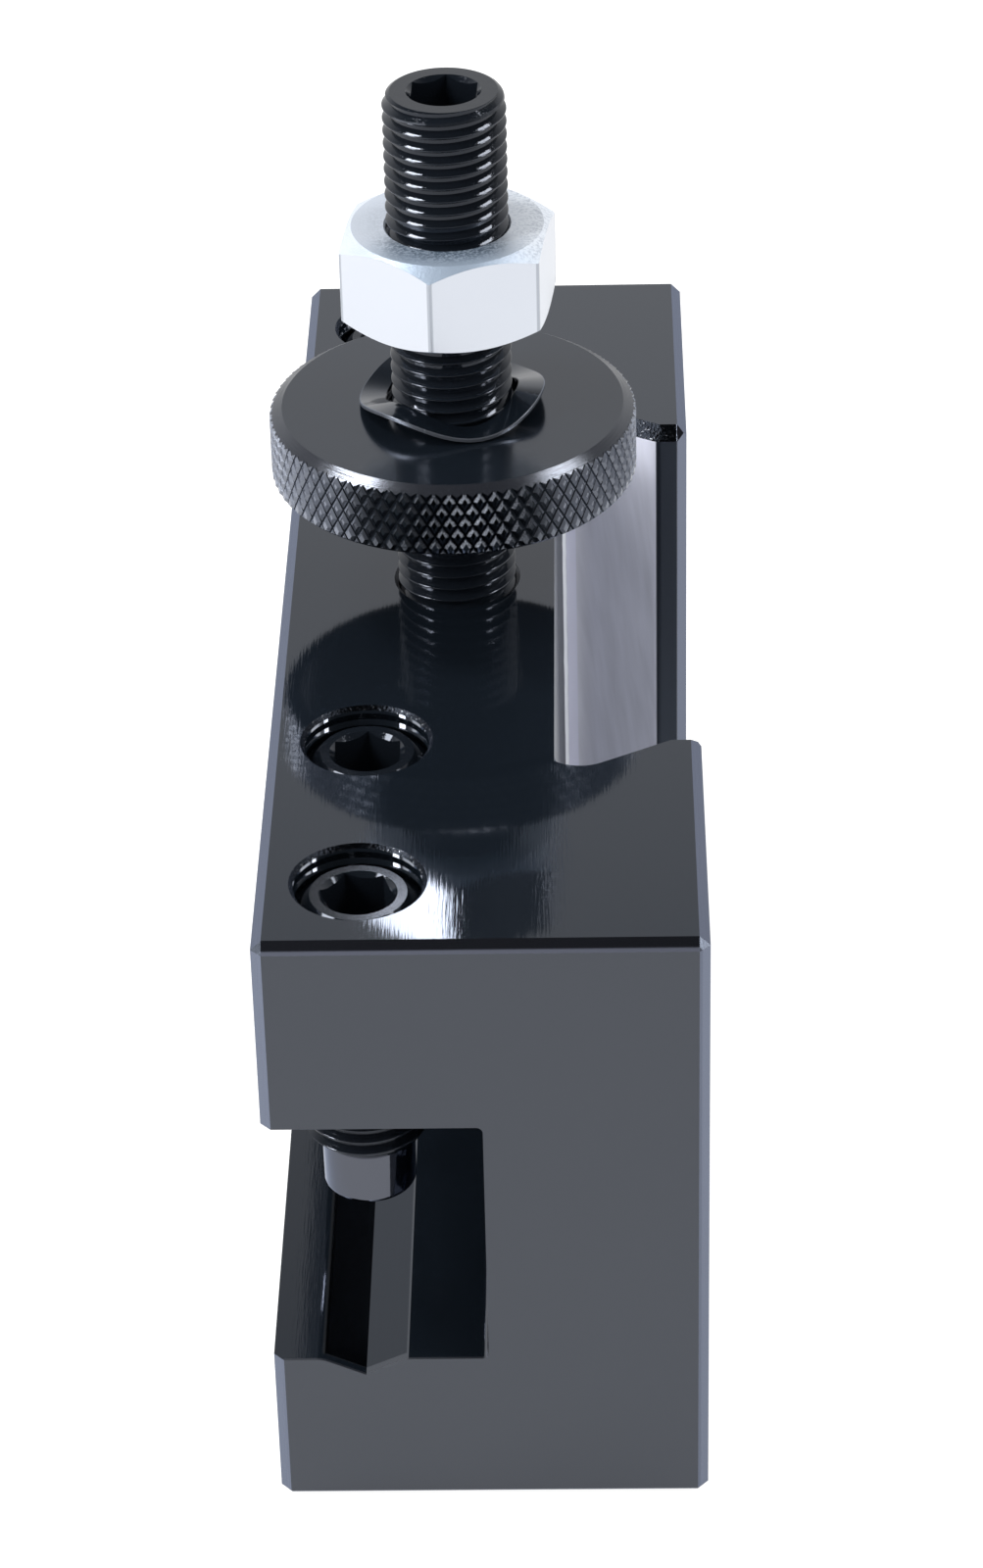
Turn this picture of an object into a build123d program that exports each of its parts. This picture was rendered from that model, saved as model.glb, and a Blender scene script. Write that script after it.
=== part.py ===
from build123d import *
import math
import os

# Tool holder for a quick change tool post, in millimetres.
# The origin is the centre of the block's bottom face. +Z is up the height stud, the tool slot opens to -X
# and the dovetail opens to +X. Both run along the block: the slot along Y, the dovetail along Z.

# Block
block_width = 33.0
block_length = 104.4
block_height = 51.9
edge_chamfer = 0.8

# Tool slot and the groove for round bars in its floor, measured from the slot's open side
slot_floor = 13.8
slot_height = 21.8
slot_depth = 16.35
slot_corner_radius = 0.5
groove_inset = 7.0
groove_half_width = 3.25
groove_depth = 1.5
groove_lip_radius = 2.0

# Dovetail
dovetail_mouth = 48.0
dovetail_depth = 11.2
dovetail_lip = 2.6
dovetail_flank_angle = 30.0
dovetail_lip_radius = 1.5
dovetail_root_radius = 2.0
dovetail_lead_in = 1.1

# Screw thread of the stud, the nuts and the clamp screws: its major diameter, without the helix
thread_diameter = 9.5
thread_clearance = 0.03
countersink = 0.3

# Hexagon key sockets
key_size = 5.0
socket_depth = 5.5

# Height stud
stud_inset = 14.0
stud_length = 55.0
stud_engagement = 12.5
stud_hole_bottom_gap = 1.5
stud_top_chamfer = 0.6
stud_socket_turn = 27.0

# Height nut
height_nut_diameter = 28.9
height_nut_thickness = 5.8
height_nut_gap = 10.1
height_nut_top_chamfer = 1.0
height_nut_top_chamfer_height = 0.6
height_nut_bottom_chamfer = 0.4

# Diamond knurl round the height nut: its teeth, and its rows at half a diamond's height
knurl_teeth = 76
knurl_rows = 5
knurl_depth = 0.35

# Wave spring washer: the height of its waves from trough to crest, where a crest stands, and the straight
# steps that make up one wave
washer_outer_diameter = 14.6
washer_inner_diameter = 10.4
washer_thickness = 0.35
washer_waves = 3
washer_wave_height = 1.3
washer_turn = -10.0
washer_wave_steps = 24
washer_seat_gap = 0.1

# Hexagon lock nut
lock_nut_flats = 15.5
lock_nut_height = 7.4
lock_nut_gap = 8.1
lock_nut_face_share = 0.96
lock_nut_chamfer_angle = 30.0
lock_nut_turn = -8.0

# Clamp screws with a dog point, in pairs at both ends of the block
clamp_screw_inset = 7.5
clamp_screw_end_distance = 8.3
clamp_screw_pitch = 19.3
clamp_screw_length = 26.0
clamp_screw_recess = 1.0
clamp_screw_top_chamfer = 1.15
dog_diameter = 7.0
dog_length = 4.3
dog_edge_bevel = 0.5
dog_cone_angle = 45.0
clamp_screw_socket_turns = (-8.0, 30.0, 12.0, 47.0)

# Places that several pieces share
thread_radius = thread_diameter / 2
tapped_radius = thread_radius + thread_clearance
open_side = -block_width / 2
dovetail_side = block_width / 2
slot_ceiling = slot_floor + slot_height
stud_x = open_side + stud_inset
stud_bottom = block_height - stud_engagement
height_nut_bottom = block_height + height_nut_gap
height_nut_top = height_nut_bottom + height_nut_thickness
lock_nut_bottom = height_nut_top + lock_nut_gap
clamp_screw_x = open_side + clamp_screw_inset
clamp_screw_top = block_height - clamp_screw_recess
outer_screw_y = block_length / 2 - clamp_screw_end_distance
inner_screw_y = outer_screw_y - clamp_screw_pitch
clamp_screw_ys = (-outer_screw_y, -inner_screw_y, inner_screw_y, outer_screw_y)


def turned(points, x=0.0, y=0.0):
    """Solid of revolution about a vertical axis, from (radius, height) points."""
    profile = Plane.XZ * make_face(Polyline(*points, close=True))
    return Pos(x, y, 0) * revolve(profile, Axis.Z)


def prism(size_across_flats, bottom, height, turn):
    """Upright hexagonal prism on the Z axis."""
    hexagon = RegularPolygon(size_across_flats / 2, 6, major_radius=False, rotation=turn)
    return Pos(0, 0, bottom) * extrude(hexagon, height)


def tapped_hole(x, y, bottom, top):
    """Cutter for a tapped hole with a countersunk mouth at its top."""
    mouth_radius = tapped_radius + countersink
    return turned([
        (0, bottom), (tapped_radius, bottom), (tapped_radius, top - countersink),
        (mouth_radius, top), (0, top),
    ], x, y)


def key_socket(top, turn):
    """Cutter for a pressed hexagonal socket with a flat bottom and a bevelled rim."""
    inner_radius = key_size / 2
    corner_radius = key_size / math.sqrt(3)
    rim = corner_radius - inner_radius
    bevel = turned([(0, top - rim), (inner_radius, top - rim), (corner_radius, top), (0, top)])
    return prism(key_size, top - socket_depth, socket_depth, turn) + bevel


def block_body():
    """Rectangular bar with all its outer edges broken."""
    bar = Box(block_width, block_length, block_height, align=(Align.CENTER, Align.CENTER, Align.MIN))
    return chamfer(bar.edges(), edge_chamfer)


def tool_slot():
    """Cutter for the tool slot, with rounded inner corners, and for the groove in its floor."""
    inner_wall = open_side + slot_depth
    outside = open_side - block_width
    opening = make_face(Polyline(
        (outside, slot_floor), (inner_wall, slot_floor), (inner_wall, slot_ceiling), (outside, slot_ceiling),
        close=True))
    inner_corners = opening.vertices().filter_by_position(Axis.X, inner_wall - 0.01, inner_wall + 0.01)
    opening = fillet(inner_corners, slot_corner_radius)
    groove_x = open_side + groove_inset
    groove = make_face(Polyline(
        (groove_x - groove_half_width, slot_floor), (groove_x, slot_floor - groove_depth),
        (groove_x + groove_half_width, slot_floor), close=True))
    profile = Plane.XZ * (opening + groove)
    return extrude(profile, block_length, both=True)


def soften_groove_lip(block):
    """Rounds the groove's edge that faces the slot's open side."""
    lip_x = open_side + groove_inset - groove_half_width
    lip = block.edges().filter_by(Axis.Y).filter_by(
        lambda edge: abs(edge.center().X - lip_x) < 0.01 and abs(edge.center().Z - slot_floor) < 0.01)
    return fillet(lip, groove_lip_radius)


def dovetail_profile(margin=0.0):
    """Plan outline of the dovetail channel, grown by a margin for the lead-in at its ends."""
    slope = math.tan(math.radians(dovetail_flank_angle))
    floor_x = dovetail_side - dovetail_depth
    lip_x = dovetail_side - dovetail_lip
    mouth_y = dovetail_mouth / 2
    root_y = mouth_y + (lip_x - floor_x) * slope
    outside = dovetail_side + block_width
    outline = make_face(Polyline(
        (floor_x, -root_y), (lip_x, -mouth_y), (outside, -mouth_y),
        (outside, mouth_y), (lip_x, mouth_y), (floor_x, root_y), close=True))
    roots = outline.vertices().filter_by_position(Axis.X, floor_x - 0.01, floor_x + 0.01)
    outline = fillet(roots, dovetail_root_radius)
    lips = outline.vertices().filter_by_position(Axis.X, lip_x - 0.01, lip_x + 0.01)
    outline = fillet(lips, dovetail_lip_radius)
    return offset(outline, margin) if margin else outline


def dovetail_lead_in_cutter():
    """Cutter that bevels the flanks and lips of the dovetail at one end, and leaves its floor square."""
    wide = dovetail_profile(dovetail_lead_in)
    bevel = Pos(0, 0, block_height) * extrude(wide, -dovetail_lead_in, taper=45)
    floor_x = dovetail_side - dovetail_depth
    beyond_floor = Pos(floor_x, 0, block_height) * Box(
        2 * block_width, block_length, 2 * block_height, align=(Align.MIN, Align.CENTER, Align.CENTER))
    return bevel & beyond_floor


def dovetail(block):
    """Cuts the dovetail channel, breaks its mouth's edges and bevels its two ends."""
    channel = extrude(dovetail_profile(), block_height)
    block = block - channel
    mouth_edges = block.edges().filter_by(Axis.Z).filter_by(
        lambda edge: abs(edge.center().X - dovetail_side) < 0.01
        and abs(abs(edge.center().Y) - dovetail_mouth / 2) < 0.01)
    block = chamfer(mouth_edges, edge_chamfer)
    top_bevel = dovetail_lead_in_cutter()
    bottom_bevel = mirror(top_bevel, Plane.XY.offset(block_height / 2))
    return block - top_bevel - bottom_bevel


def tool_holder_block():
    """The steel block: slot, groove, dovetail, four tapped holes for clamp screws and one for the stud."""
    block = dovetail(block_body()) - tool_slot()
    block = soften_groove_lip(block)
    for y in clamp_screw_ys:
        block = block - tapped_hole(clamp_screw_x, y, slot_ceiling - slot_height / 2, block_height)
    return block - tapped_hole(stud_x, 0, stud_bottom - stud_hole_bottom_gap, block_height)


def height_stud():
    """Long socket set screw that carries the two nuts."""
    top = stud_bottom + stud_length
    flat_radius = thread_radius - stud_top_chamfer
    shank = turned([
        (0, stud_bottom), (flat_radius, stud_bottom), (thread_radius, stud_bottom + stud_top_chamfer),
        (thread_radius, top - stud_top_chamfer), (flat_radius, top), (0, top),
    ])
    return Pos(stud_x, 0, 0) * (shank - key_socket(top, stud_socket_turn))


def rim_ring(radius, height, row=0, depth=0.0, rise=0.0):
    """Points round the Z axis, two to a tooth of the knurl. Every second one is a hollow, which may lie
    deeper and higher than the crests. The hollows of the next row stand between those of this one."""
    ring = []
    for column in range(2 * knurl_teeth):
        hollow = (column + row) % 2
        point = Vector(radius - hollow * depth, 0, height + hollow * rise)
        ring.append(point.rotate(Axis.Z, 180 * column / knurl_teeth))
    return ring


def cells(lower, upper):
    """The four corners of each cell between two rings of points."""
    return list(zip(lower, lower[1:] + lower[:1], upper[1:] + upper[:1], upper))


def flat_face(corners):
    """Flat face between three or more points."""
    return Face(Wire.make_polygon(corners))


def knurled_disc():
    """Disc with a bevel at each edge. Between them the rim is a diamond knurl: a groove joins each hollow
    to the next, so every cell is two flat triangles, and four of them make one pointed diamond."""
    radius = height_nut_diameter / 2
    low = height_nut_bottom + height_nut_bottom_chamfer
    high = height_nut_top - height_nut_top_chamfer_height
    rises = [0.0] * (knurl_rows + 1)
    rises[0] = -knurl_depth
    rises[-1] = knurl_depth * height_nut_top_chamfer_height / height_nut_top_chamfer
    bottom_ring = rim_ring(radius - height_nut_bottom_chamfer, height_nut_bottom)
    top_ring = rim_ring(radius - height_nut_top_chamfer, height_nut_top)
    knurl = [
        rim_ring(radius, low + (high - low) * row / knurl_rows, row, knurl_depth, rise)
        for row, rise in enumerate(rises)
    ]
    bevels = cells(bottom_ring, knurl[0]) + cells(knurl[-1], top_ring)
    faces = [flat_face(corners) for corners in [bottom_ring, top_ring] + bevels]
    for row in range(knurl_rows):
        for column, (a, b, c, d) in enumerate(cells(knurl[row], knurl[row + 1])):
            halves = [(a, b, c), (c, d, a)] if (column + row) % 2 else [(d, a, b), (b, c, d)]
            faces += [flat_face(half) for half in halves]
    return Solid(Shell(faces))


def height_nut():
    """Round nut with a knurled rim, a broad bevel on top and a tapped hole with countersunk mouths."""
    mouth_radius = tapped_radius + countersink
    bore = turned([
        (0, height_nut_bottom), (mouth_radius, height_nut_bottom),
        (tapped_radius, height_nut_bottom + countersink), (tapped_radius, height_nut_top - countersink),
        (mouth_radius, height_nut_top), (0, height_nut_top),
    ])
    return Pos(stud_x, 0, 0) * (knurled_disc() - bore)


def wave_ring(diameter, height):
    """Points round the Z axis whose height runs up and down in waves, from a crest on the X axis."""
    steps = washer_waves * washer_wave_steps
    ring = []
    for step in range(steps):
        swing = (1 + math.cos(2 * math.pi * step / washer_wave_steps)) / 2
        point = Vector(diameter / 2, 0, height + washer_wave_height * swing)
        ring.append(point.rotate(Axis.Z, 360 * step / steps))
    return ring


def spring_washer():
    """Thin ring pressed into waves. Its troughs lie on the height nut and its crests stand up."""
    bottom = height_nut_top + washer_seat_gap
    top = bottom + washer_thickness
    rings = [
        wave_ring(washer_inner_diameter, bottom), wave_ring(washer_outer_diameter, bottom),
        wave_ring(washer_outer_diameter, top), wave_ring(washer_inner_diameter, top),
    ]
    faces = []
    for ring, next_ring in zip(rings, rings[1:] + rings[:1]):
        for a, b, c, d in cells(ring, next_ring):
            faces += [flat_face((a, b, c)), flat_face((c, d, a))]
    return Pos(stud_x, 0, 0) * Rot(0, 0, washer_turn) * Solid(Shell(faces))


def lock_nut():
    """Hexagon nut, bevelled on both faces."""
    corner_radius = lock_nut_flats / math.sqrt(3)
    face_radius = lock_nut_flats / 2 * lock_nut_face_share
    drop = (corner_radius - face_radius) * math.tan(math.radians(lock_nut_chamfer_angle))
    mouth_radius = tapped_radius + countersink
    top = lock_nut_bottom + lock_nut_height
    envelope = turned([
        (tapped_radius, lock_nut_bottom + countersink), (mouth_radius, lock_nut_bottom),
        (face_radius, lock_nut_bottom), (corner_radius, lock_nut_bottom + drop),
        (corner_radius, top - drop), (face_radius, top),
        (mouth_radius, top), (tapped_radius, top - countersink),
    ])
    hexagon = prism(lock_nut_flats, lock_nut_bottom, lock_nut_height, lock_nut_turn + 30)
    return Pos(stud_x, 0, 0) * (hexagon & envelope)


def clamp_screw(y, socket_turn):
    """Socket set screw whose plain dog point presses on the tool."""
    top = clamp_screw_top
    tip = top - clamp_screw_length
    dog_radius = dog_diameter / 2
    shoulder = tip + dog_length
    shoulder_height = (thread_radius - dog_radius) * math.tan(math.radians(dog_cone_angle))
    screw = turned([
        (0, tip), (dog_radius - dog_edge_bevel, tip), (dog_radius, tip + dog_edge_bevel),
        (dog_radius, shoulder),
        (thread_radius, shoulder + shoulder_height), (thread_radius, top - clamp_screw_top_chamfer),
        (thread_radius - clamp_screw_top_chamfer, top), (0, top),
    ])
    return Pos(clamp_screw_x, y, 0) * (screw - key_socket(top, socket_turn))


def parts():
    """Every piece of the holder by its name."""
    pieces = {
        "tool_holder_block": tool_holder_block(),
        "height_stud": height_stud(),
        "height_nut": height_nut(),
        "spring_washer": spring_washer(),
        "lock_nut": lock_nut(),
    }
    for number, (y, socket_turn) in enumerate(zip(clamp_screw_ys, clamp_screw_socket_turns), start=1):
        pieces[f"clamp_screw_{number}"] = clamp_screw(y, socket_turn)
    return pieces


os.makedirs("parts", exist_ok=True)
for name, piece in parts().items():
    export_step(piece, f"parts/{name}.step")
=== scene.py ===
import math

import bmesh
import bpy
from mathutils import Euler, Matrix, Vector


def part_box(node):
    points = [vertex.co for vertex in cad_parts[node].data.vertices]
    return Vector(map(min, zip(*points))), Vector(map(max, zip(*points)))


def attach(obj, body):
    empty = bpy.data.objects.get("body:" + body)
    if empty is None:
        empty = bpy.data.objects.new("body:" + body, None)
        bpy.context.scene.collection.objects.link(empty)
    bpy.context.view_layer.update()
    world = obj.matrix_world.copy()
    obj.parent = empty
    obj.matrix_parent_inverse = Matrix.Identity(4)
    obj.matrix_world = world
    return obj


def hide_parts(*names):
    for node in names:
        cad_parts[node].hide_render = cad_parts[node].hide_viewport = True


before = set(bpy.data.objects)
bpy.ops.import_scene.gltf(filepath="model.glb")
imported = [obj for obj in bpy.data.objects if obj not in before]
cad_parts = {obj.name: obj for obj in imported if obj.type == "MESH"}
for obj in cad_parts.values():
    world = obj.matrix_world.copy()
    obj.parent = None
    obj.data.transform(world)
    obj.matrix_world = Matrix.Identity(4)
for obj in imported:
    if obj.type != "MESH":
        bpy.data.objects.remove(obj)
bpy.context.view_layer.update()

# The camera stands before the narrow end of the block and looks down on it from a hand's height.
# It has a long lens, and its frame is the photograph's, whose optical centre lies a little low and left.
photo_width = 1003
photo_height = 1600
optical_centre_x = 465.2
optical_centre_y = 846.3
focal_length_pixels = 4843.4
camera_height_angle = math.radians(33.263)
camera_turn = math.radians(1.984)
camera_roll = math.radians(-1.743)
camera_place = (0.008209, -0.330639, 0.244524)
camera_near_limit = 0.01
sensor_size = 36.0

bpy.ops.object.select_all(action="DESELECT")
bpy.ops.object.camera_add(location=camera_place)
camera = bpy.context.object
camera.name = "camera"
aim = Euler((math.pi / 2 - camera_height_angle, 0, camera_turn)).to_matrix()
camera.rotation_euler = (aim @ Matrix.Rotation(camera_roll, 3, "Z")).to_euler()
camera.data.sensor_width = sensor_size
camera.data.lens = focal_length_pixels / photo_height * sensor_size
camera.data.shift_x = (photo_width / 2 - optical_centre_x) / photo_height
camera.data.shift_y = (optical_centre_y - photo_height / 2) / photo_height
camera.data.clip_start = camera_near_limit
bpy.context.scene.camera = camera
bpy.context.scene.view_settings.view_transform = "Standard"


# The studio is a white sweep: a bright floor, a back and sides that fade with height, and a dark room above
# and behind the camera. Each side has four soft lamps: a main one, a tall strip beside it, one high up and
# a long one just over the floor.
floor_size = 4.0
floor_paint = (0.8, 0.8, 0.8, 1)
floor_share_of_glow = 0.72
floor_glow = 0.95
extra_glow_for_camera = 0.35
room_level = 0.75
room_dark = 0.03
sweep_top = (0.35, 0.85)
dark_side = (0.0, 0.35)
dark_foot = (-0.05, 0.05)
horizon_level = 0.25
horizon_top = (0.12, 0.30)
lamp_target = Vector((0, 0, 0.06))
# Each lamp has its direction from the target, its distance, its width and height, and its power in watts.
lamps = {
    "key_lamp": ((-0.79, -0.25, 0.56), 0.55, (0.20, 0.20), 2.0),
    "fill_lamp": ((0.80, -0.18, 0.54), 0.60, (0.15, 0.15), 0.7),
    "left_strip_lamp": ((-0.82, -0.42, 0.40), 0.58, (0.10, 0.22), 1.7),
    "right_strip_lamp": ((0.89, -0.25, 0.40), 0.60, (0.08, 0.22), 0.8),
    "upper_left_lamp": ((-0.52, 0.11, 0.85), 0.60, (0.14, 0.16), 2.0),
    "upper_right_lamp": ((0.51, 0.20, 0.83), 0.60, (0.14, 0.14), 0.8),
    "low_left_lamp": ((-0.92, -0.38, 0.14), 0.60, (0.85, 0.085), 0.62),
    "low_right_lamp": ((0.99, 0.02, 0.14), 0.60, (0.45, 0.085), 0.38),
}


class Shade:
    """A value in a tree of shader nodes. Operators on it add Math nodes to the tree."""

    def __init__(self, finish, socket):
        self.finish = finish
        self.socket = socket

    def math(self, operation, *values):
        return self.finish.node("ShaderNodeMath", {"operation": operation}, dict(enumerate(values)))

    def __add__(self, other):
        return self.math("ADD", self, other)

    def __sub__(self, other):
        return self.math("SUBTRACT", self, other)

    def __rsub__(self, other):
        return self.math("SUBTRACT", other, self)

    def __mul__(self, other):
        return self.math("MULTIPLY", self, other)

    def __truediv__(self, other):
        return self.math("DIVIDE", self, other)

    def __pow__(self, other):
        return self.math("POWER", self, other)

    def __abs__(self):
        return self.math("ABSOLUTE", self)

    __radd__ = __add__
    __rmul__ = __mul__

    def least(self, other):
        return self.math("MINIMUM", self, other)

    def most(self, other):
        return self.math("MAXIMUM", self, other)

    def rise(self, start, end):
        """0 before start and 1 after end, with a smooth step between them. End may be the smaller."""
        return self.finish.node(
            "ShaderNodeMapRange", {"interpolation_type": "SMOOTHSTEP"},
            {"Value": self, "From Min": start, "From Max": end})


class Finish:
    """The nodes of one material, or of the world."""

    def __init__(self, name, owner=None):
        self.owner = owner or bpy.data.materials.new(name)
        self.owner.use_nodes = True
        self.tree = self.owner.node_tree
        self.tree.nodes.clear()

    def node(self, kind, settings=None, inputs=None, output=0):
        """Adds a node: first its settings, then the values or links of its sockets."""
        added = self.tree.nodes.new(kind)
        for name, value in (settings or {}).items():
            setattr(added, name, value)
        for name, value in (inputs or {}).items():
            if isinstance(value, Shade):
                self.tree.links.new(value.socket, added.inputs[name])
            else:
                added.inputs[name].default_value = value
        return Shade(self, added.outputs[output])

    def coordinates(self, output="Object"):
        """The x, y and z of a Texture Coordinate output."""
        vector = self.node("ShaderNodeTexCoord", output=output)
        return [self.node("ShaderNodeSeparateXYZ", inputs={0: vector}, output=axis) for axis in range(3)]

    def around(self, axis):
        """The x and y of a place from an upright axis, and its distance from that axis."""
        x, y = self.coordinates()[:2]
        x, y = x - axis.x, y - axis.y
        return x, y, (x * x + y * y) ** 0.5

    def vector(self, x, y, z):
        return self.node("ShaderNodeCombineXYZ", inputs={0: x, 1: y, 2: z})

    def colour(self, share, first, second):
        """Blend of two colours, each an RGB tuple or a Shade."""
        first, second = [c if isinstance(c, Shade) else (*c, 1) for c in (first, second)]
        return self.node("ShaderNodeMix", {"data_type": "RGBA"}, {0: share, 6: first, 7: second}, 2)

    def layers(self, tint, *coats):
        """A colour with others laid over it in turn, each given as its share and its colour."""
        for share, coat in coats:
            tint = self.colour(share, tint, coat)
        return tint

    def grain(self, size, stretch=(1, 1, 1), detail=2.0, where=None):
        """Noise from 0 to 1 in grains of about that size in metres, stretched along x, y or z."""
        where = where or self.node("ShaderNodeTexCoord", output="Object")
        scale = [1 / (size * along) for along in stretch]
        placed = self.node("ShaderNodeMapping", inputs={"Vector": where, "Scale": scale})
        return self.node("ShaderNodeTexNoise", inputs={"Vector": placed, "Scale": 1.0, "Detail": detail})

    def bump(self, height, depth):
        """Normal of a surface whose height runs over that depth in metres."""
        return self.node("ShaderNodeBump", inputs={"Strength": 1.0, "Distance": depth, "Height": height})

    def surface(self, **values):
        """Ends the material with a Principled shader that has these values or links."""
        sockets = {}
        for name, value in values.items():
            sockets[name.replace("_", " ").title().replace("Ior", "IOR")] = value
        self.end(self.node("ShaderNodeBsdfPrincipled", inputs=sockets))

    def end(self, shader, kind="ShaderNodeOutputMaterial"):
        """Links a shader to the output of the material or the world."""
        added = self.tree.nodes.new(kind)
        self.tree.links.new(shader.socket, added.inputs["Surface"])


bpy.ops.mesh.primitive_plane_add(size=floor_size)
floor = bpy.context.object
floor.name = "floor"
paper = Finish("white_paper")
seen_by_camera = paper.node("ShaderNodeLightPath", output="Is Camera Ray")
seen_or_mirrored = seen_by_camera.most(paper.node("ShaderNodeLightPath", output="Is Glossy Ray"))
glow_strength = seen_by_camera * extra_glow_for_camera + floor_glow
glow = paper.node("ShaderNodeEmission", inputs={"Strength": glow_strength})
paint = paper.node("ShaderNodeBsdfDiffuse", inputs={"Color": floor_paint})
glow_share = seen_or_mirrored * floor_share_of_glow
paper.end(paper.node("ShaderNodeMixShader", inputs={0: glow_share, 1: paint, 2: glow}))
floor.data.materials.append(paper.owner)

world = bpy.data.worlds.new("studio")
bpy.context.scene.world = world
room = Finish("studio", world)
away, up = room.coordinates("Generated")[1:]
sweep = 1 - up.rise(*sweep_top)
above_horizon = up.rise(*dark_foot) * (1 - horizon_level) + up.rise(*horizon_top) * horizon_level
behind_camera = (away * -1).rise(*dark_side) * above_horizon
seen_in_metal = sweep * (1 - behind_camera) * (1 - room_dark) + room_dark
camera_ray = room.node("ShaderNodeLightPath", output="Is Camera Ray")
glossy_ray = room.node("ShaderNodeLightPath", output="Is Glossy Ray")
strength = room_level * (1 - glossy_ray) + seen_in_metal * glossy_ray
strength = strength * (1 - camera_ray) + camera_ray
room.end(room.node("ShaderNodeBackground", inputs={"Strength": strength}), "ShaderNodeOutputWorld")

for name, (direction, distance, size, power) in lamps.items():
    towards = Vector(direction).normalized()
    bpy.ops.object.light_add(type="AREA", location=lamp_target + towards * distance)
    lamp = bpy.context.object
    lamp.name = name
    lamp.rotation_euler = towards.to_track_quat("Z", "Y").to_euler()
    lamp.data.shape = "RECTANGLE"
    lamp.data.size, lamp.data.size_y = size
    lamp.data.energy = power
    lamp.visible_camera = False


# The block is milled from one bar of steel, ground on its long faces and blackened all over. The top is
# oiled and glossy with fine grinding lines along it, the two ends are duller, and the chamfers are a lighter,
# bluish metal. The mouths of its tapped holes are left rough. The dovetail is painted pale, with a painted
# highlight line and strip by its floor, in place of the light that falls on it. Painted shade darkens the
# up-facing and foot chamfers, their corners, the lip of the dovetail and the groove in the slot, and painted
# light fills the countersink round the stud.
block_low, block_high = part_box("tool_holder_block")
stud_low, stud_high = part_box("height_stud")
stud_axis = (stud_low + stud_high) / 2

blackening = (0.0045, 0.0065, 0.0095)
black_steel_gloss = (0.80, 0.86, 1.0, 1)
black_oxide_ior = 1.85
end_face_tint = (0.009, 0.0105, 0.0135)
chamfer_tint = (0.185, 0.206, 0.265)
# Painted shade darkens the chamfers that face up, those that face down at the foot as a painted contact
# shadow, and the corners where three chamfers meet.
top_chamfer_painted_shade_tint = (0.13, 0.14, 0.18)
foot_chamfer_painted_shadow_tint = (0.025, 0.028, 0.035)
corner_painted_shade_tint = (0.055, 0.062, 0.078)
# Painted light: the dovetail's pale tint and the dimmer grey of its floor stand in for the light on them, and
# the line and strip by the floor are painted highlights.
dovetail_painted_light_tint = (0.74, 0.755, 0.87)
dovetail_floor_painted_light_tint = (0.10, 0.106, 0.120)
painted_highlight_strip_tint = (0.64, 0.65, 0.80)
painted_highlight_line_tint = (0.90, 0.93, 0.98)
# Painted shade: the lip of the dovetail is a dark metal that shows no reflection of the floor, in place of
# the shadow on it.
lip_painted_shade_tint = (0.040, 0.047, 0.061)
rough_mouth_tints = (0.012, 0.014, 0.018), (0.22, 0.23, 0.25)
# Painted light: the countersink round the stud is a light grey that cancels the shade it lies in.
stud_mouth_painted_light_tint = (0.28, 0.29, 0.32)
# Painted shade: the upward faces of the groove in the slot are a darker metal.
groove_painted_shade_tint = (0.055, 0.060, 0.068)

# A pair of limits is for rise: a mask is 0 at the first of them and 1 at the second.
upright_slope = (0.35, 0.25)
least_slant = (0.3, 0.4)
most_slant = (0.95, 0.92)
level_slope = (0.5, 0.8)
chamfer_squareness = (0.75, 0.72)
chamfer_lean = (0.3, 0.5)
corner_lean = (0.40, 0.50)
face_margin = 0.0003
edge_margin = 0.0009
edge_fade = 0.0001

channel_floor_x = 0.0053
channel_reach = 0.0315
channel_cover = 0.70
channel_mark_cover = 0.40
flank_foot_x = (0.0088, 0.0074)
flank_foot_shade = 0.18
line_start_x = 0.00582
line_end_x = 0.00610
line_fade = 0.00004
line_wave = 0.00020
line_wave_length = 0.0015
strip_end_x = 0.00697
strip_fade = 0.00006
lip_x = 0.0139
slot_floor_z = 0.0138
groove_side_x = (-0.001, -0.002)
groove_bottom_z = (0.010, 0.011)
groove_top_margin = 0.00002
stud_mouth_radius = 0.0063
thread_pitch = 0.0254 / 24
hole_thread_z = (0.045, 0.046)
hole_thread_height = 0.00030
hole_zone_margin = 0.0012
hole_zone_fade = 0.0002

grinding_line = 0.00016
grinding_length = 22.0
grinding_depth = 0.0000032
grinding_relief = 1.5
mouth_relief = 25
end_face_grain = 0.00012
mouth_grain = 0.00025
bright_mouth_grain = (0.58, 0.75)
oil_patch = 0.006
channel_mark = 0.0011
channel_mark_length = 12
channel_mark_slant = 0.18
oiled_roughness = 0.045
oil_patch_roughness = 0.02
end_face_roughness = 0.35
end_face_mottle = 0.06
chamfer_roughness = 0.18
channel_roughness = 0.4
lip_roughness = 0.25
mouth_roughness = 0.2
groove_roughness = 0.1

block_finish = Finish("black_oxide_block")
x, y, z = block_finish.coordinates()
nx, ny, nz = block_finish.coordinates("Normal")
from_stud = block_finish.around(stud_axis)[2]
upright = abs(nz).rise(*upright_slope)
slanted = abs(nz).rise(*least_slant) * abs(nz).rise(*most_slant)
on_end = abs(y).rise(block_high.y - face_margin, block_high.y - face_margin / 2)

right_border = block_high.x - edge_margin
left_border = block_low.x + edge_margin
end_border = block_high.y - edge_margin
at_border = x.rise(right_border, right_border + edge_fade)
at_border = at_border.most(x.rise(left_border, left_border - edge_fade))
at_border = at_border.most(abs(y).rise(end_border, end_border + edge_fade))
squareness = abs(nx).most(abs(ny)).most(abs(nz))
on_chamfer = squareness.rise(*chamfer_squareness) * at_border
# The corners where three chamfers meet, which get painted shade.
on_corner = on_chamfer * abs(nx).least(abs(ny)).least(abs(nz)).rise(*corner_lean)

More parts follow.
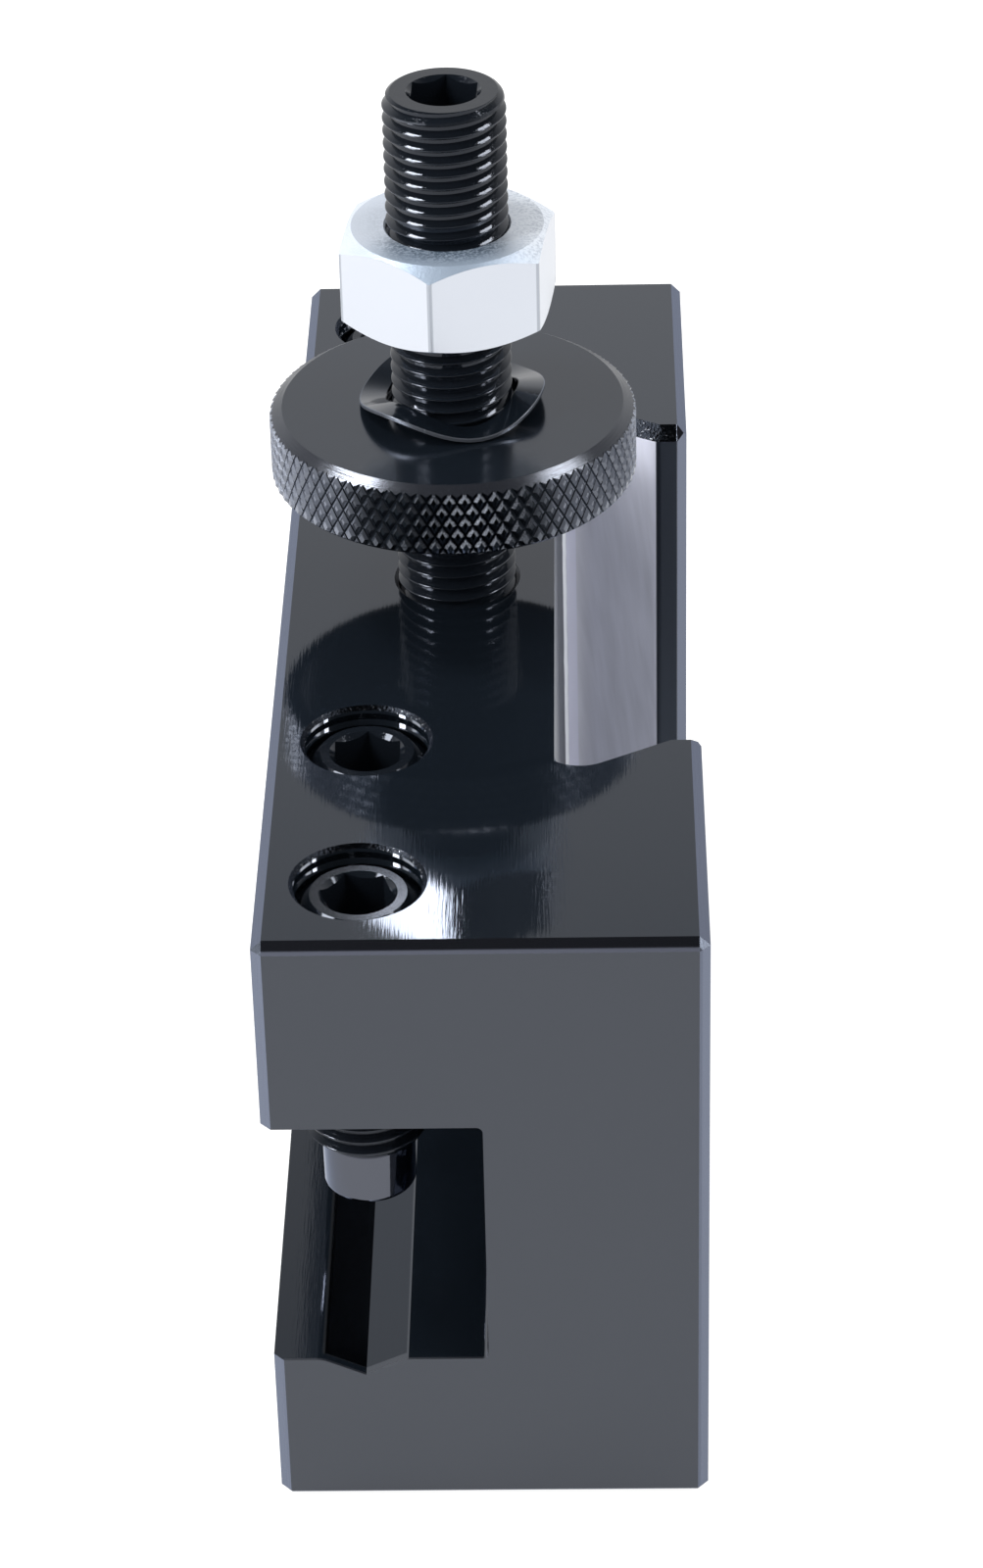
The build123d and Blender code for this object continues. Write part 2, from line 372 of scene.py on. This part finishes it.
in_channel = abs(y).rise(channel_reach, channel_reach - face_margin) * (1 - at_border)
in_channel = in_channel * x.rise(channel_floor_x - face_margin, channel_floor_x - edge_fade)
on_lip = in_channel * upright * x.rise(lip_x - edge_fade, lip_x + edge_fade)
on_channel = in_channel * upright * (1 - on_lip)
# The floor, line and strip of the dovetail carry painted light: a grey floor, a painted highlight line and a
# painted highlight strip.
on_floor = on_channel * x.rise(line_start_x, line_start_x - line_fade)
wavy_x = x + (block_finish.grain(line_wave_length, (1, 1, 2)) - 0.5) * line_wave
on_painted_highlight_line = on_channel * wavy_x.rise(line_start_x - line_fade, line_start_x + line_fade)
on_painted_highlight_line = on_painted_highlight_line * wavy_x.rise(line_end_x + line_fade, line_end_x - line_fade)
on_painted_highlight_strip = on_channel * x.rise(line_end_x, line_end_x + 2 * line_fade)
on_painted_highlight_strip = on_painted_highlight_strip * x.rise(strip_end_x + strip_fade, strip_end_x - strip_fade)

on_mouth = slanted * (1 - at_border) * z.rise(slot_floor_z + edge_fade, slot_floor_z + face_margin)
on_mouth = on_mouth.most(slanted * in_channel)
on_stud_mouth = on_mouth * from_stud.rise(stud_mouth_radius + face_margin, stud_mouth_radius)
in_groove = z.rise(slot_floor_z - groove_top_margin, slot_floor_z - edge_fade) * z.rise(*groove_bottom_z)
in_groove = in_groove * (1 - at_border) * x.rise(*groove_side_x) * nz.rise(*level_slope)

hole_zone_y = block_high.y - hole_zone_margin
hole_zone_left = block_low.x + hole_zone_margin
hole_zone_right = channel_floor_x - face_margin
in_hole = upright * z.rise(*hole_thread_z) * abs(y).rise(hole_zone_y, hole_zone_y - hole_zone_fade)
in_hole = in_hole * x.rise(hole_zone_left, hole_zone_left + hole_zone_fade)
in_hole = in_hole * x.rise(hole_zone_right, hole_zone_right - hole_zone_fade)
thread_turn = z.math("PINGPONG", z / thread_pitch, 0.5)

lines = block_finish.grain(grinding_line, (1, grinding_length, grinding_length), 3.0)
fine = block_finish.grain(end_face_grain, detail=3.0)
grit = block_finish.grain(mouth_grain, detail=4.0)
patches = block_finish.grain(oil_patch)
marks = block_finish.grain(
    channel_mark, (1, 1, channel_mark_length),
    where=block_finish.vector(x + z * channel_mark_slant, y, z - x * channel_mark_slant))
# Share of the dovetail's painted light, less at the foot of its flanks as painted shade.
channel_share = on_channel * (channel_cover + marks * channel_mark_cover)
channel_share = channel_share * (1 - x.rise(*flank_foot_x) * flank_foot_shade)
# Among the steel's own tints below lie coats of painted light and shade: the up-facing, foot and corner
# chamfers, the dovetail with its painted highlight line and strip, the lip, the stud's countersink and the
# groove.
tint = block_finish.layers(
    blackening,
    (on_end, end_face_tint),
    (on_chamfer, chamfer_tint),
    (on_chamfer * nz.rise(*chamfer_lean), top_chamfer_painted_shade_tint),
    (on_chamfer * (nz * -1).rise(*chamfer_lean), foot_chamfer_painted_shadow_tint),
    (on_corner, corner_painted_shade_tint),
    (channel_share, dovetail_painted_light_tint),
    (on_floor, dovetail_floor_painted_light_tint),
    (on_painted_highlight_strip, painted_highlight_strip_tint),
    (on_painted_highlight_line, painted_highlight_line_tint),
    (on_lip, lip_painted_shade_tint),
    (on_mouth, block_finish.colour(grit.rise(*bright_mouth_grain), *rough_mouth_tints)),
    (on_stud_mouth, stud_mouth_painted_light_tint),
    (in_groove, groove_painted_shade_tint))
metal = on_chamfer.most(on_lip).most(on_mouth).most(in_groove) * (1 - on_stud_mouth)
roughness = oiled_roughness + patches * oil_patch_roughness
roughness = roughness + on_end * (end_face_roughness + fine * end_face_mottle)
roughness = roughness + on_chamfer * chamfer_roughness + on_channel * channel_roughness
roughness = roughness + on_lip * lip_roughness + on_mouth * mouth_roughness + in_groove * groove_roughness
relief = lines * grinding_relief * (1 - on_end - on_mouth) + fine * on_end + grit * on_mouth * mouth_relief
relief = relief + in_hole * thread_turn * (2 * hole_thread_height / grinding_depth)
block_finish.surface(
    base_color=tint, metallic=metal, roughness=roughness, ior=black_oxide_ior,
    specular_tint=black_steel_gloss, normal=block_finish.bump(relief, grinding_depth))
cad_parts["tool_holder_block"].material_slots[0].material = block_finish.owner


# The four clamp screws press the tool into the slot. Each is a hardened socket set screw with a fine thread,
# a broad bevel at its top and a plain dog point, which is ground bright and has a rounded end.
screw_low, screw_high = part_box("clamp_screw_1")
screw_radius = (screw_high.x - screw_low.x) / 2
thread_depth = 0.00058
thread_flank_angle = math.radians(60)
thread_crest_rounding = 0.00011
thread_crest_points = 6
thread_steps = 64
turned_steps = 96
key_flats = 0.005
key_depth = 0.0055
key_rim = 0.00035
screw_top_bevel = 0.00115
dog_radius = 0.0035
dog_length = 0.0043
dog_rounding = 0.0005
dog_rounding_steps = 5
dog_top = screw_low.z + dog_length
clamp_screw_turns = (-8, 30, 12, 47)
beyond = 0.0002
same_point = 1e-7
same_point_at_cut = 1e-6
smooth_under = math.radians(28)

screw_tint = (0.0045, 0.0060, 0.0085)
dog_tint = (0.11, 0.117, 0.140)
screw_ior = 1.5
screw_oil_patch = 0.0009
screw_grain = 0.00016
screw_glint = (0.60, 0.68)
screw_roughness = 0.04
screw_oil_roughness = 0.04
screw_top_roughness = 0.12
screw_top_slope = (0.97, 0.99)
under_stud_top_z = (0.09, 0.08)
screw_relief_depth = 0.000012
screw_oil_relief = 0.5
screw_grain_relief = 0.25
screw_glint_relief = 0.12


def only(piece):
    """Makes one object the selected and active one."""
    bpy.ops.object.select_all(action="DESELECT")
    piece.select_set(True)
    bpy.context.view_layer.objects.active = piece


def choose(test, kind="verts"):
    """In edit mode, selects just those vertices, edges or faces that pass a test."""
    modes = {"verts": "VERT", "edges": "EDGE", "faces": "FACE"}
    bpy.ops.mesh.select_mode(type=modes[kind])
    bpy.ops.mesh.select_all(action="DESELECT")
    mesh = bmesh.from_edit_mesh(bpy.context.object.data)
    for part in getattr(mesh, kind):
        part.select_set(test(part))
    bmesh.update_edit_mesh(bpy.context.object.data)


def drawn_line(name, points):
    """Line of edges through (radius, height) points in the XZ plane, drawn by extruding one vertex."""
    bpy.ops.object.select_all(action="DESELECT")
    bpy.ops.mesh.primitive_plane_add()
    line = bpy.context.object
    line.name = name
    bpy.ops.object.mode_set(mode="EDIT")
    bpy.ops.mesh.select_mode(type="VERT")
    bpy.ops.mesh.merge(type="CENTER")
    start, *others = [Vector((radius, 0, height)) for radius, height in points]
    bpy.ops.transform.translate(value=start)
    for point in others:
        bpy.ops.mesh.extrude_region_move(TRANSFORM_OT_translate={"value": point - start})
        start = point
    bpy.ops.mesh.select_all(action="SELECT")
    return line


def turned(name, points, steps=turned_steps):
    """Solid turned on the Z axis from a closed line of (radius, height) points, or one from axis to axis."""
    solid = drawn_line(name, points)
    bpy.ops.mesh.spin(steps=steps, angle=2 * math.pi, center=(0, 0, 0), axis=(0, 0, 1))
    bpy.ops.mesh.select_all(action="SELECT")
    bpy.ops.mesh.remove_doubles(threshold=same_point)
    bpy.ops.mesh.normals_make_consistent(inside=False)
    bpy.ops.object.mode_set(mode="OBJECT")
    return solid


def threaded_bar(name, radius, bottom, top):
    """Bar with a helical thread, cut square at both ends."""
    root = radius - thread_depth
    crest = []
    for point in range(thread_crest_points):
        slope = thread_flank_angle * (2 * point / (thread_crest_points - 1) - 1)
        crest.append((radius - thread_crest_rounding * (1 - math.cos(slope)),
                      thread_pitch / 2 + thread_crest_rounding * math.sin(slope)))
    start = crest[0][1] - (crest[0][0] - root) / math.tan(thread_flank_angle)
    profile = [(root, 0), (root, start), *crest, (root, thread_pitch - start), (root, thread_pitch)]
    low = bottom - thread_pitch
    bar = drawn_line(name, [(r, low + height) for r, height in profile])
    bpy.ops.object.mode_set(mode="OBJECT")
    helix = bar.modifiers.new("helix", "SCREW")
    helix.screw_offset = thread_pitch
    helix.iterations = math.ceil((top - low) / thread_pitch) + 1
    helix.steps = helix.render_steps = thread_steps
    helix.use_merge_vertices = True
    helix.merge_threshold = same_point
    bpy.ops.object.modifier_apply(modifier="helix")
    bpy.ops.object.mode_set(mode="EDIT")
    for height, below in ((bottom, True), (top, False)):
        bpy.ops.mesh.select_all(action="SELECT")
        bpy.ops.mesh.bisect(
            plane_co=(0, 0, height), plane_no=(0, 0, 1), use_fill=True,
            clear_inner=below, clear_outer=not below, threshold=same_point_at_cut)
    bpy.ops.mesh.select_all(action="SELECT")
    bpy.ops.mesh.remove_doubles(threshold=same_point_at_cut)
    bpy.ops.mesh.normals_make_consistent(inside=False)
    bpy.ops.object.mode_set(mode="OBJECT")
    return bar


def combine(piece, tool, operation):
    """Applies a Boolean of the piece with a tool, which is used up."""
    only(piece)
    cut = piece.modifiers.new("cut", "BOOLEAN")
    cut.operation = operation
    cut.object = tool
    cut.solver = "EXACT"
    bpy.ops.object.modifier_apply(modifier="cut")
    bpy.data.objects.remove(tool)


def cut_key_socket(piece, top, turn=0.0):
    """Cuts a hexagonal key socket with a bevelled rim into the top of a screw."""
    corner = key_flats / math.sqrt(3)
    bpy.ops.object.select_all(action="DESELECT")
    bpy.ops.mesh.primitive_cylinder_add(vertices=6, radius=corner, depth=2 * key_depth, location=(0, 0, top))
    hexagon = bpy.context.object
    hexagon.rotation_euler.z = math.pi / 2 + turn
    bpy.ops.object.transform_apply(location=True, rotation=True)
    combine(piece, hexagon, "DIFFERENCE")
    combine(piece, turned("rim", [
        (0, top - key_rim), (corner - key_rim, top - key_rim), (corner + key_rim, top + key_rim),
        (0, top + key_rim)]), "DIFFERENCE")


def set_screw(name, radius, bottom, top, envelope):
    """Threaded bar with its ends bevelled as a turned envelope says."""
    bar = threaded_bar(name, radius, bottom - thread_pitch, top + thread_pitch)
    combine(bar, turned("envelope", envelope), "INTERSECT")
    return bar


def settle(piece, x, y, turn=0.0):
    """Moves a piece from the Z axis to its place, into its mesh."""
    only(piece)
    piece.location = (x, y, 0)
    piece.rotation_euler.z = turn
    bpy.ops.object.transform_apply(location=True, rotation=True)
    bpy.ops.object.shade_smooth_by_angle(angle=smooth_under)


def coat(piece, finish):
    """Gives a piece its one material."""
    piece.data.materials.clear()
    piece.data.materials.append(finish.owner)


shoulder_top = dog_top + screw_radius - dog_radius
model = set_screw("clamp_screw", screw_radius, dog_top, screw_high.z, [
    (0, dog_top), (dog_radius, dog_top), (screw_radius + beyond, shoulder_top + beyond),
    (screw_radius + beyond, screw_high.z - screw_top_bevel - beyond),
    (screw_radius - screw_top_bevel, screw_high.z), (0, screw_high.z)])
rounded_end = []
for step in range(dog_rounding_steps + 1):
    angle = step / dog_rounding_steps * math.pi / 2
    rounded_end.append((dog_radius - dog_rounding * (1 - math.sin(angle)),
                        screw_low.z + dog_rounding * (1 - math.cos(angle))))
combine(model, turned("dog", [
    (0, screw_low.z), *rounded_end, (dog_radius, dog_top + dog_rounding / 2),
    (0, dog_top + dog_rounding)]), "UNION")
cut_key_socket(model, screw_high.z)

screw_finish = Finish("black_screw_steel")
z = screw_finish.coordinates()[2]
nz = screw_finish.coordinates("Normal")[2]
oil = screw_finish.grain(screw_oil_patch, detail=3.0)
grit = screw_finish.grain(screw_grain, detail=3.0)
on_dog = z.rise(dog_top + edge_fade, dog_top)
on_top = nz.rise(*screw_top_slope) * z.rise(*under_stud_top_z)
relief = grit * screw_grain_relief + grit.rise(*screw_glint) * screw_glint_relief
screw_finish.surface(
    base_color=screw_finish.colour(on_dog, screw_tint, dog_tint), metallic=on_dog, ior=screw_ior,
    roughness=screw_roughness + oil * screw_oil_roughness + on_top * screw_top_roughness,
    specular_tint=black_steel_gloss,
    normal=screw_finish.bump(oil * screw_oil_relief + relief * (1 - on_dog), screw_relief_depth))
coat(model, screw_finish)

for number, turn in enumerate(clamp_screw_turns, start=1):
    node = f"clamp_screw_{number}"
    low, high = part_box(node)
    screw = model.copy()
    screw.data = model.data.copy()
    bpy.context.collection.objects.link(screw)
    screw.name = f"clamping_screw_{number}"
    centre = (low + high) / 2
    settle(screw, centre.x, centre.y, math.radians(turn))
    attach(screw, node)
    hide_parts(node)
bpy.data.objects.remove(model)


# The height stud is a long socket set screw with the thread and the black finish of the clamp screws. It is
# turned down into the block until it stands firm, and its upper end is rounded off.
stud_radius = (stud_high.x - stud_low.x) / 2
stud_end_bevel = 0.0006
# Each corner of the rounded end has its distance in from the crests and its drop from the top.
stud_shoulder = (0.00062, 0.0), (0.00036, 0.00014), (0.00016, 0.00042), (0.00005, 0.00085)
stud_shoulder_height = 0.0015
stud_socket_turn = math.radians(27)

stud = set_screw("threaded_stud", stud_radius, stud_low.z, stud_high.z, [
    (0, stud_low.z), (stud_radius - stud_end_bevel, stud_low.z),
    (stud_radius + beyond, stud_low.z + stud_end_bevel + beyond),
    (stud_radius + beyond, stud_high.z - stud_shoulder_height),
    *((stud_radius - inset, stud_high.z - drop) for inset, drop in reversed(stud_shoulder)),
    (0, stud_high.z)])
cut_key_socket(stud, stud_high.z, stud_socket_turn)
settle(stud, stud_axis.x, stud_axis.y)
coat(stud, screw_finish)
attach(stud, "holder")
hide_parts("height_stud")


# The height nut is turned from black steel, with a broad bevel round its top and a diamond knurl rolled
# round its rim. The rolling has left a small pit on the point of each diamond. Painted light makes the
# knurl lighter except at the front, and painted shade makes its roots, and at the front its pits and
# undersides, a dark metal.
nut_low, nut_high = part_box("height_nut")
nut_radius = (nut_high.y - nut_low.y) / 2
nut_axis = (nut_low + nut_high) / 2
nut_top_bevel = 0.0010
nut_top_bevel_height = 0.0006
nut_bottom_bevel = 0.0004
bore_clearance = 0.00003
nut_bore_radius = stud_radius + bore_clearance
nut_countersink = 0.0003
knurl_teeth = 76
knurl_row_height = 0.000985
knurl_first_row = 0.0003
knurl_rows = (-1, 6)
knurl_depth = 0.00029
knurl_wear = 0.00021
knurl_root_width = 0.00008
knurl_pit_edge = 0.00004
knurl_pit_depth = 0.00010
knurl_tolerance = 1e-6
level_face = 0.9

nut_bevel_tint = (0.010, 0.011, 0.014)
# Painted light lightens the knurl away from the front.
knurl_painted_light_tint = (0.112, 0.122, 0.148)
# Painted shade: the dark metal of the knurl's roots, and at the front of its pits and undersides.
knurl_painted_shade_tint = (0.012, 0.015, 0.019)
nut_bevel_least_slope = (0.70, 0.80)
nut_bevel_most_slope = (0.95, 0.90)
nut_bevel_radius = (0.0128, 0.0130)
rim_slope = (0.75, 0.70)
rim_radius = (0.0130, 0.0132)
pit_facing = (0.97, 0.985)
pit_under_point = (0.00003, 0.00005)
pit_over_root = (0.00003, 0.00006)
root_height = (0.00009, 0.00005)
# Where the painted light on the knurl begins, going round from the front.
painted_light_turn = (-0.94, -0.78)
knurl_underside = (-0.15, -0.40)
bevel_back = (0.2, 0.8)
lathe_line = 0.00009
lathe_line_length = 60
lathe_line_relief = 0.1
tool_mark = 0.00013
tool_mark_length = 26
tool_mark_relief = 2.2
turn_length = 0.01
knurl_grain = 0.00016
knurl_relief = 1.2
nut_relief_depth = 0.000010
nut_roughness = 0.15
nut_bevel_roughness = 0.03
nut_bevel_back_roughness = 0.4
knurl_roughness = 0.03

rim_bottom = nut_low.z + nut_bottom_bevel
rim_top = nut_high.z - nut_top_bevel_height
row_start = rim_bottom + knurl_first_row
columns = 2 * knurl_teeth
first_row, last_row = [row_start + row * knurl_row_height for row in knurl_rows]
bpy.ops.object.select_all(action="DESELECT")
bpy.ops.mesh.primitive_cylinder_add(
    vertices=columns, radius=nut_radius + knurl_wear, depth=last_row - first_row,
    location=(0, 0, (first_row + last_row) / 2))
nut = bpy.context.object
nut.name = "knurled_nut"
bpy.ops.object.transform_apply(location=True)
bpy.ops.object.mode_set(mode="EDIT")
for row in range(knurl_rows[0] + 1, knurl_rows[1]):
    bpy.ops.mesh.select_all(action="SELECT")
    bpy.ops.mesh.bisect(
        plane_co=(0, 0, row_start + row * knurl_row_height), plane_no=(0, 0, 1), threshold=same_point)


def is_hollow(point):
    """True for every second point of a row, with the next row's hollows set between them."""
    row = round((point.co.z - row_start) / knurl_row_height)
    column = round(math.atan2(point.co.y, point.co.x) / math.pi * knurl_teeth)
    return (row + column) % 2 == 1


choose(is_hollow)
hollow_scale = (nut_radius - knurl_depth) / (nut_radius + knurl_wear)
bpy.ops.transform.resize(value=(hollow_scale, hollow_scale, 1), center_override=(0, 0, 0))
choose(lambda face: abs(face.normal.z) < level_face, "faces")
bpy.ops.mesh.quads_convert_to_tris(quad_method="SHORTEST_DIAGONAL")
root_radius = nut_radius - knurl_depth
choose(lambda edge: all(point.co.xy.length < root_radius + knurl_tolerance for point in edge.verts), "edges")
bpy.ops.mesh.bevel(offset=knurl_root_width / 2, segments=1)
bpy.ops.object.mode_set(mode="OBJECT")
blank = turned("blank", [
    (0, nut_low.z), (nut_radius - nut_bottom_bevel, nut_low.z), (nut_radius, rim_bottom),
    (nut_radius, rim_top), (nut_radius - nut_top_bevel, nut_high.z), (0, nut_high.z)], columns)
blank.rotation_euler.z = math.pi / columns
combine(nut, blank, "INTERSECT")
bpy.ops.object.mode_set(mode="EDIT")
point_radius = nut_radius * math.cos(math.pi / columns) - knurl_tolerance
rim_middle = (rim_bottom + rim_top) / 2
rim_half = (rim_top - rim_bottom) / 2 - knurl_wear
choose(lambda face: all(point.co.xy.length > point_radius for point in face.verts)
       and abs(face.calc_center_median().z - rim_middle) < rim_half and len(face.verts) == 4, "faces")
bpy.ops.mesh.inset(thickness=knurl_pit_edge, use_individual=True)
pit_scale = 1 - knurl_pit_depth / nut_radius
bpy.ops.transform.resize(value=(pit_scale, pit_scale, 1), center_override=(0, 0, 0))
bpy.ops.object.mode_set(mode="OBJECT")


def bore(piece, low, high, countersink):
    """Bores a piece for the stud, from its low to its high face, and countersinks both mouths."""
    mouth = nut_bore_radius + countersink + beyond
    combine(piece, turned("bore", [
        (0, low - beyond), (mouth, low - beyond), (nut_bore_radius, low + countersink),
        (nut_bore_radius, high - countersink), (mouth, high + beyond), (0, high + beyond)]), "DIFFERENCE")


bore(nut, nut_low.z, nut_high.z, nut_countersink)
settle(nut, nut_axis.x, nut_axis.y)

nut_finish = Finish("black_oxide_nut")
z = nut_finish.coordinates()[2]
nx, ny, nz = nut_finish.coordinates("Normal")
from_axis_x, from_axis_y, radius = nut_finish.around(nut_axis)
angle = nut_finish.node("ShaderNodeMath", {"operation": "ARCTAN2"}, {0: from_axis_y, 1: from_axis_x})
backwards = from_axis_y / radius
on_bevel = nz.rise(*nut_bevel_least_slope) * nz.rise(*nut_bevel_most_slope) * radius.rise(*nut_bevel_radius)
on_rim = nz.rise(*rim_slope) * radius.rise(*rim_radius)
# Painted light on the knurl everywhere but the front.
knurl_painted_light = on_rim * backwards.rise(*painted_light_turn)
outward = (nx * from_axis_x + ny * from_axis_y) / radius
# Pits, roots and undersides that get painted shade; the pits and undersides only at the front.
in_pit = outward.rise(*pit_facing) * (1 - knurl_painted_light)
in_pit = in_pit * radius.rise(*(nut_radius - depth for depth in pit_under_point))
in_pit = in_pit * radius.rise(*(root_radius + height for height in pit_over_root))
in_root = on_rim * radius.rise(*(root_radius + height for height in root_height))
knurl_painted_shade = in_pit.most(in_root).most(on_rim * nz.rise(*knurl_underside) * (1 - knurl_painted_light))
unrolled = nut_finish.vector(radius, angle * turn_length, z)
lathe_lines = nut_finish.grain(lathe_line, (1, lathe_line_length, lathe_line_length), where=unrolled)
tool_marks = nut_finish.grain(tool_mark, (1, tool_mark_length, 1), 3.0, unrolled)
relief = lathe_lines * lathe_line_relief * (1 - on_rim) + tool_marks * on_bevel * tool_mark_relief
relief = relief + nut_finish.grain(knurl_grain, detail=3.0) * on_rim * knurl_relief
bevel_roughness = nut_bevel_roughness + backwards.rise(*bevel_back) * nut_bevel_back_roughness
nut_finish.surface(
    base_color=nut_finish.layers(
        blackening, (on_bevel, nut_bevel_tint), (knurl_painted_light, knurl_painted_light_tint), (knurl_painted_shade, knurl_painted_shade_tint)),
    metallic=knurl_painted_shade, ior=black_oxide_ior,
    roughness=nut_roughness + on_bevel * bevel_roughness + on_rim * knurl_roughness,
    specular_tint=black_steel_gloss, normal=nut_finish.bump(relief, nut_relief_depth))
coat(nut, nut_finish)
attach(nut, "height_nut")
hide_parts("height_nut")


# A wave spring washer lies on the height nut. It is a thin ring of spring steel pressed into three waves,
# with soft punched edges and a glossy black finish, so that it bears on its troughs.
washer_low, washer_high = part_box("spring_washer")
washer_radius = (washer_high.y - washer_low.y) / 2
washer_hole_radius = 0.0052
washer_thickness = 0.00035
washer_wave_height = washer_high.z - washer_low.z - washer_thickness
washer_waves = 3
washer_wave_steps = 48
washer_turn = math.radians(-10)
washer_edge = 0.00006
washer_edge_tint = (0.11, 0.12, 0.14)
washer_edge_band = 0.00010
washer_edge_metal = 0.6
washer_ior = 1.9
oil_film = 0.0012
oil_film_depth = 0.000008
washer_roughness = 0.07
oil_film_roughness = 0.08
washer_edge_roughness = 0.15

under = washer_low.z
over = washer_low.z + washer_thickness
washer = turned("wave_washer", [
    (washer_hole_radius + washer_edge, under), (washer_radius - washer_edge, under),
    (washer_radius, under + washer_edge), (washer_radius, over - washer_edge),
    (washer_radius - washer_edge, over), (washer_hole_radius + washer_edge, over),
    (washer_hole_radius, over - washer_edge), (washer_hole_radius, under + washer_edge),
    (washer_hole_radius + washer_edge, under)], washer_waves * washer_wave_steps)
bpy.ops.object.mode_set(mode="EDIT")
turn_of_step = 2 * math.pi / washer_waves / washer_wave_steps
for step in range(washer_wave_steps):
    choose(lambda point: round(math.atan2(point.co.y, point.co.x) / turn_of_step) % washer_wave_steps == step)
    swing = (1 + math.cos(2 * math.pi * step / washer_wave_steps)) / 2
    bpy.ops.transform.translate(value=(0, 0, washer_wave_height * swing))
bpy.ops.object.mode_set(mode="OBJECT")
settle(washer, stud_axis.x, stud_axis.y, washer_turn)

washer_finish = Finish("black_spring_steel")
radius = washer_finish.around(stud_axis)[2]
on_edge = radius.rise(washer_radius - washer_edge_band, washer_radius - washer_edge)
film = washer_finish.grain(oil_film, detail=3.0)
washer_finish.surface(
    base_color=washer_finish.colour(on_edge, blackening, washer_edge_tint),
    metallic=on_edge * washer_edge_metal, ior=washer_ior,
    roughness=washer_roughness + film * oil_film_roughness + on_edge * washer_edge_roughness,
    specular_tint=black_steel_gloss, normal=washer_finish.bump(film, oil_film_depth))
coat(washer, washer_finish)
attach(washer, "washer")
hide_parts("spring_washer")


# The hexagon lock nut holds the height nut in its setting. It is plain steel with bright zinc plating,
# bevelled on both faces, with soft corners. Above and below the plating is frosted and worn bare in specks
# round the stud. Painted shade darkens the frosted faces towards the front and crowds the bare specks there,
# and painted light makes frosted specks on the right lighter.
lock_low, lock_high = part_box("lock_nut")
lock_flats = 0.0155
lock_face_share = 0.96
lock_bevel_slope = math.tan(math.radians(30))
lock_turn = math.radians(-8)
lock_corner_rounding = 0.00012
lock_corner_segments = 3
lock_countersink = 0.00015
zinc_tint = (0.705, 0.74, 0.81)
frosted_tint = (0.56, 0.61, 0.69)
# Painted light: frosted specks on the right.
right_painted_light_tint = (0.82, 0.87, 0.94)
# Painted shade: the frosted faces towards the front, and the bare specks, which are wear made denser at the
# front.
front_painted_shade_tint = (0.22, 0.28, 0.36)
bare_and_painted_shade_tint = (0.07, 0.10, 0.14)
corner_line_tint = (0.36, 0.39, 0.44)
frosted_slope = (0.5, 0.7)
corner_line_inset = (0.00014, 0.00009)
corner_line_share = 0.7
front_turn = (-0.3, -0.95)
front_share = 0.85
right_turn = (0.25, 0.85)
right_frost = (0.30, 0.60)
bare_radius = (0.0076, 0.0052)
bare_frost = (0.35, 0.60)
frost_grain = 0.00022
zinc_cloud = 0.004
frosted_dullness = 0.55
zinc_roughness = 0.20
zinc_cloud_roughness = 0.05
frosted_roughness = 0.16
plain_relief = 0.1
zinc_relief_depth = 0.00002

lock_corner = lock_flats / math.sqrt(3)
lock_face_radius = lock_flats / 2 * lock_face_share
bpy.ops.object.select_all(action="DESELECT")
bpy.ops.mesh.primitive_cylinder_add(
    vertices=6, radius=lock_corner, depth=lock_high.z - lock_low.z + 4 * beyond,
    location=(0, 0, (lock_low.z + lock_high.z) / 2))
lock_nut = bpy.context.object
lock_nut.name = "hexagon_lock_nut"
bpy.ops.object.transform_apply(location=True)
bpy.ops.object.mode_set(mode="EDIT")
choose(lambda edge: abs(edge.verts[0].co.z - edge.verts[1].co.z) > beyond, "edges")
bpy.ops.mesh.bevel(offset=lock_corner_rounding, segments=lock_corner_segments)
bpy.ops.object.mode_set(mode="OBJECT")
reach = lock_corner + beyond
lock_drop = (reach - lock_face_radius) * lock_bevel_slope
combine(lock_nut, turned("envelope", [
    (0, lock_low.z), (lock_face_radius, lock_low.z), (reach, lock_low.z + lock_drop),
    (reach, lock_high.z - lock_drop), (lock_face_radius, lock_high.z), (0, lock_high.z)]), "INTERSECT")
bore(lock_nut, lock_low.z, lock_high.z, lock_countersink)
settle(lock_nut, stud_axis.x, stud_axis.y, lock_turn + math.pi)

zinc = Finish("zinc_plate")
nz = zinc.coordinates("Normal")[2]
from_axis_x, from_axis_y, radius = zinc.around(stud_axis)
frosted = abs(nz).rise(*frosted_slope)
on_corner = radius.rise(*(lock_corner - inset for inset in corner_line_inset)) * (1 - frosted)
frost = zinc.grain(frost_grain, detail=4.0)
cloud = zinc.grain(zinc_cloud)
# Painted shade towards the front; it also makes the bare specks denser there.
front = (from_axis_y / radius).rise(*front_turn) * front_share
# Painted light in frosted specks on the right.
right = (from_axis_x / radius).rise(*right_turn) * frost.rise(*right_frost)
# Bare specks round the stud: wear, and painted shade at the front.
bare_and_painted_shade = radius.rise(*bare_radius) * frost.rise(*bare_frost) * (front + (1 - front_share))
zinc.surface(
    base_color=zinc.layers(
        zinc_tint, (frosted, frosted_tint), (frosted * right, right_painted_light_tint),
        (frosted * front, front_painted_shade_tint), (frosted * bare_and_painted_shade, bare_and_painted_shade_tint),
        (on_corner * corner_line_share, corner_line_tint)),
    metallic=1 - frosted * frosted_dullness,
    roughness=zinc_roughness + frosted * frosted_roughness + cloud * zinc_cloud_roughness,
    normal=zinc.bump(frost * (plain_relief + frosted), zinc_relief_depth))
coat(lock_nut, zinc)
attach(lock_nut, "lock_nut")
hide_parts("lock_nut")
